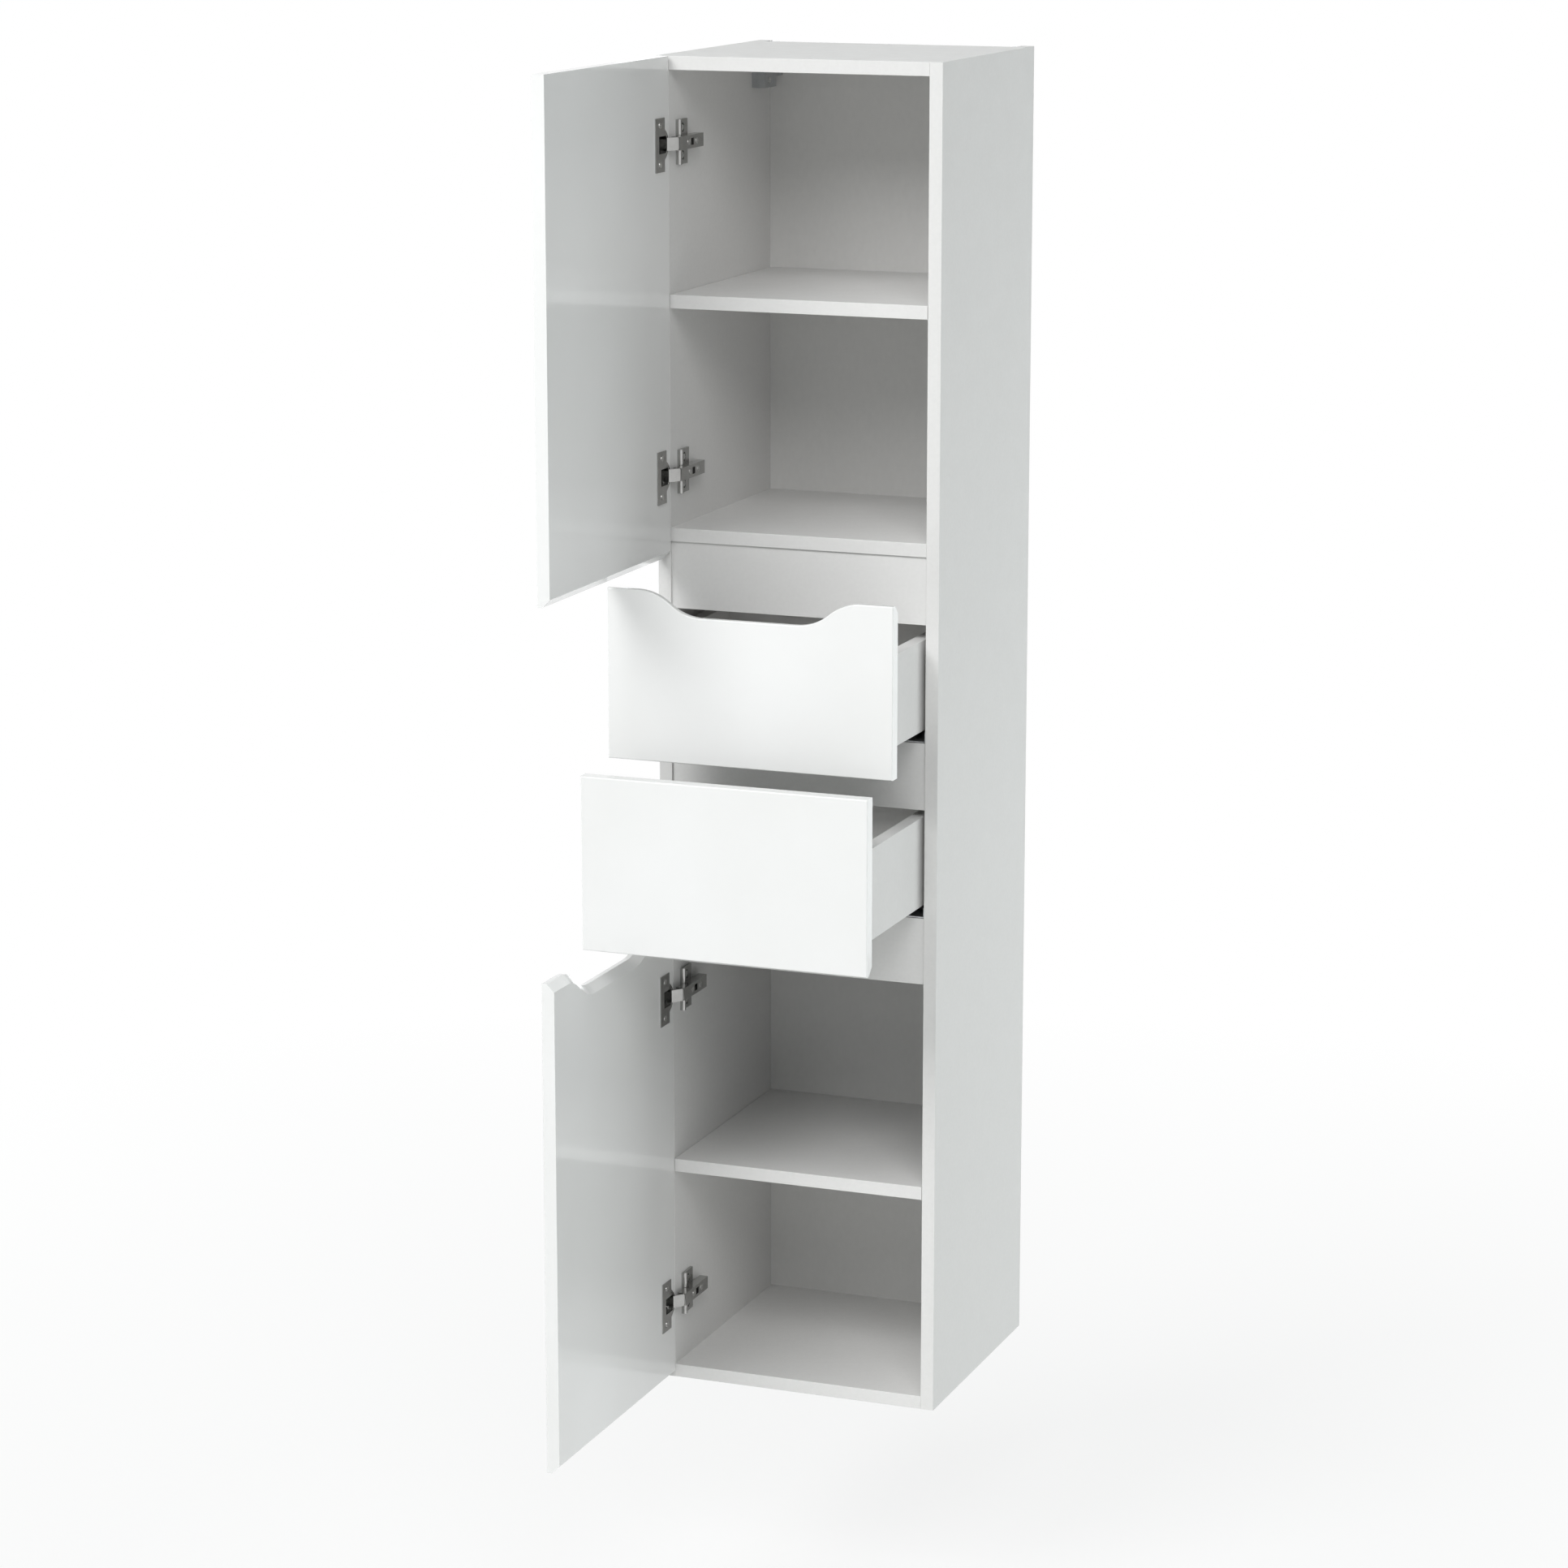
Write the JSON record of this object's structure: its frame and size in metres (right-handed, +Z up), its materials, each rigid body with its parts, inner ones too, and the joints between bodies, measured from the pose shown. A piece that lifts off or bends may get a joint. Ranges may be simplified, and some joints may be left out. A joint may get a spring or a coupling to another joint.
{
  "type": "wall-mounted tall cabinet",
  "caption": "Tall narrow wall-hung cabinet: hinged doors above and below drawers, handle-free fronts with waved finger-pull edges, inner shelves, concealed hinges.",
  "frame": {"origin": "on the wall plane, midway between the two screw holes of the hanging rail", "axes": "+X to the right seen from the room, +Y from the room to the wall, +Z up"},
  "size_m": [0.35, 0.6838, 1.6],
  "materials": {
    "front_gloss": "white high-gloss lacquer on fibreboard",
    "carcass_board": "white satin melamine on chipboard, matching edge band",
    "thin_board": "white lacquered thin fibreboard",
    "hinge_nickel": "nickel-plated pressed steel",
    "runner_zinc": "zinc-plated rolled steel",
    "screw_steel": "nickel-plated steel, cross recess",
    "hanger_plastic": "moulded grey plastic",
    "pin_plastic": "moulded pale plastic",
    "dowel_wood": "fluted beech"
  },
  "bodies": {
    "cabinet": {"back_panel": "thin_board", "bottom_panel": "carcass_board", "cam_bolts": "screw_steel", "cam_locks": "screw_steel", "carcass_dowels": "dowel_wood", "hanger_hooks": "runner_zinc", "hanger_screws": "screw_steel", "hanging_rail": "runner_zinc", "hinge_adjusting_screws": "screw_steel", "hinge_plate_screws": "screw_steel", "left_hanger": "hanger_plastic", "left_side_panel": "carcass_board", "lower_cabinet_runners": "runner_zinc", "lower_front_rail": "carcass_board", "lower_hinge_arms": "hinge_nickel", "lower_hinge_necks": "hinge_nickel", "lower_hinge_plates": "hinge_nickel", "lower_shelf": "carcass_board", "lower_shelf_pins": "pin_plastic", "middle_front_rail": "carcass_board", "middle_shelf": "carcass_board", "right_hanger": "hanger_plastic", "right_side_panel": "carcass_board", "runner_screws": "screw_steel", "top_panel": "carcass_board", "upper_cabinet_runners": "runner_zinc", "upper_front_rail": "carcass_board", "upper_hinge_arms": "hinge_nickel", "upper_hinge_necks": "hinge_nickel", "upper_hinge_plates": "hinge_nickel", "upper_shelf": "carcass_board", "upper_shelf_pins": "pin_plastic"},
    "upper_door": {"upper_door": "front_gloss", "upper_hinge_cups": "hinge_nickel", "upper_hinge_pins": "hinge_nickel", "upper_cup_screws": "screw_steel"},
    "upper_drawer": {"upper_drawer_front": "front_gloss", "upper_drawer_left_side": "carcass_board", "upper_drawer_right_side": "carcass_board", "upper_drawer_back": "carcass_board", "upper_drawer_bottom": "thin_board", "upper_drawer_dowels": "dowel_wood", "upper_drawer_clips": "hanger_plastic", "upper_drawer_runners": "runner_zinc"},
    "upper_slides": {"upper_middle_slides": "runner_zinc"},
    "lower_door": {"lower_door": "front_gloss", "lower_hinge_cups": "hinge_nickel", "lower_hinge_pins": "hinge_nickel", "lower_cup_screws": "screw_steel"},
    "lower_drawer": {"lower_drawer_front": "front_gloss", "lower_drawer_left_side": "carcass_board", "lower_drawer_right_side": "carcass_board", "lower_drawer_back": "carcass_board", "lower_drawer_bottom": "thin_board", "lower_drawer_dowels": "dowel_wood", "lower_drawer_clips": "hanger_plastic", "lower_drawer_runners": "runner_zinc"},
    "lower_slides": {"lower_middle_slides": "runner_zinc"}
  },
  "joints": [
    {"name": "upper_door_hinge", "type": "hinge", "parent": "cabinet", "child": "upper_door", "pos_m": [-0.1669, -0.34239, -0.2665], "axis": [0, 0, 1], "range_deg": [-5, 90]},
    {"name": "upper_drawer_slide", "type": "slide", "parent": "cabinet", "child": "upper_drawer", "axis": [0, -1, 0], "range_m": [-0.136, 0.114]},
    {"name": "upper_middle_slide", "type": "slide", "parent": "cabinet", "child": "upper_slides", "axis": [0, -1, 0], "range_m": [-0.068, 0.057]},
    {"name": "lower_door_hinge", "type": "hinge", "parent": "cabinet", "child": "lower_door", "pos_m": [-0.1669, -0.34239, -1.2815], "axis": [0, 0, 1], "range_deg": [-5, 90]},
    {"name": "lower_drawer_slide", "type": "slide", "parent": "cabinet", "child": "lower_drawer", "axis": [0, -1, 0], "range_m": [-0.217, 0.033]},
    {"name": "lower_middle_slide", "type": "slide", "parent": "cabinet", "child": "lower_slides", "axis": [0, -1, 0], "range_m": [-0.1085, 0.0165]}
  ],
  "couplings": [
    {"joint": "upper_middle_slide", "follows": "upper_drawer_slide", "ratio": 0.5},
    {"joint": "lower_middle_slide", "follows": "lower_drawer_slide", "ratio": 0.5}
  ]
}
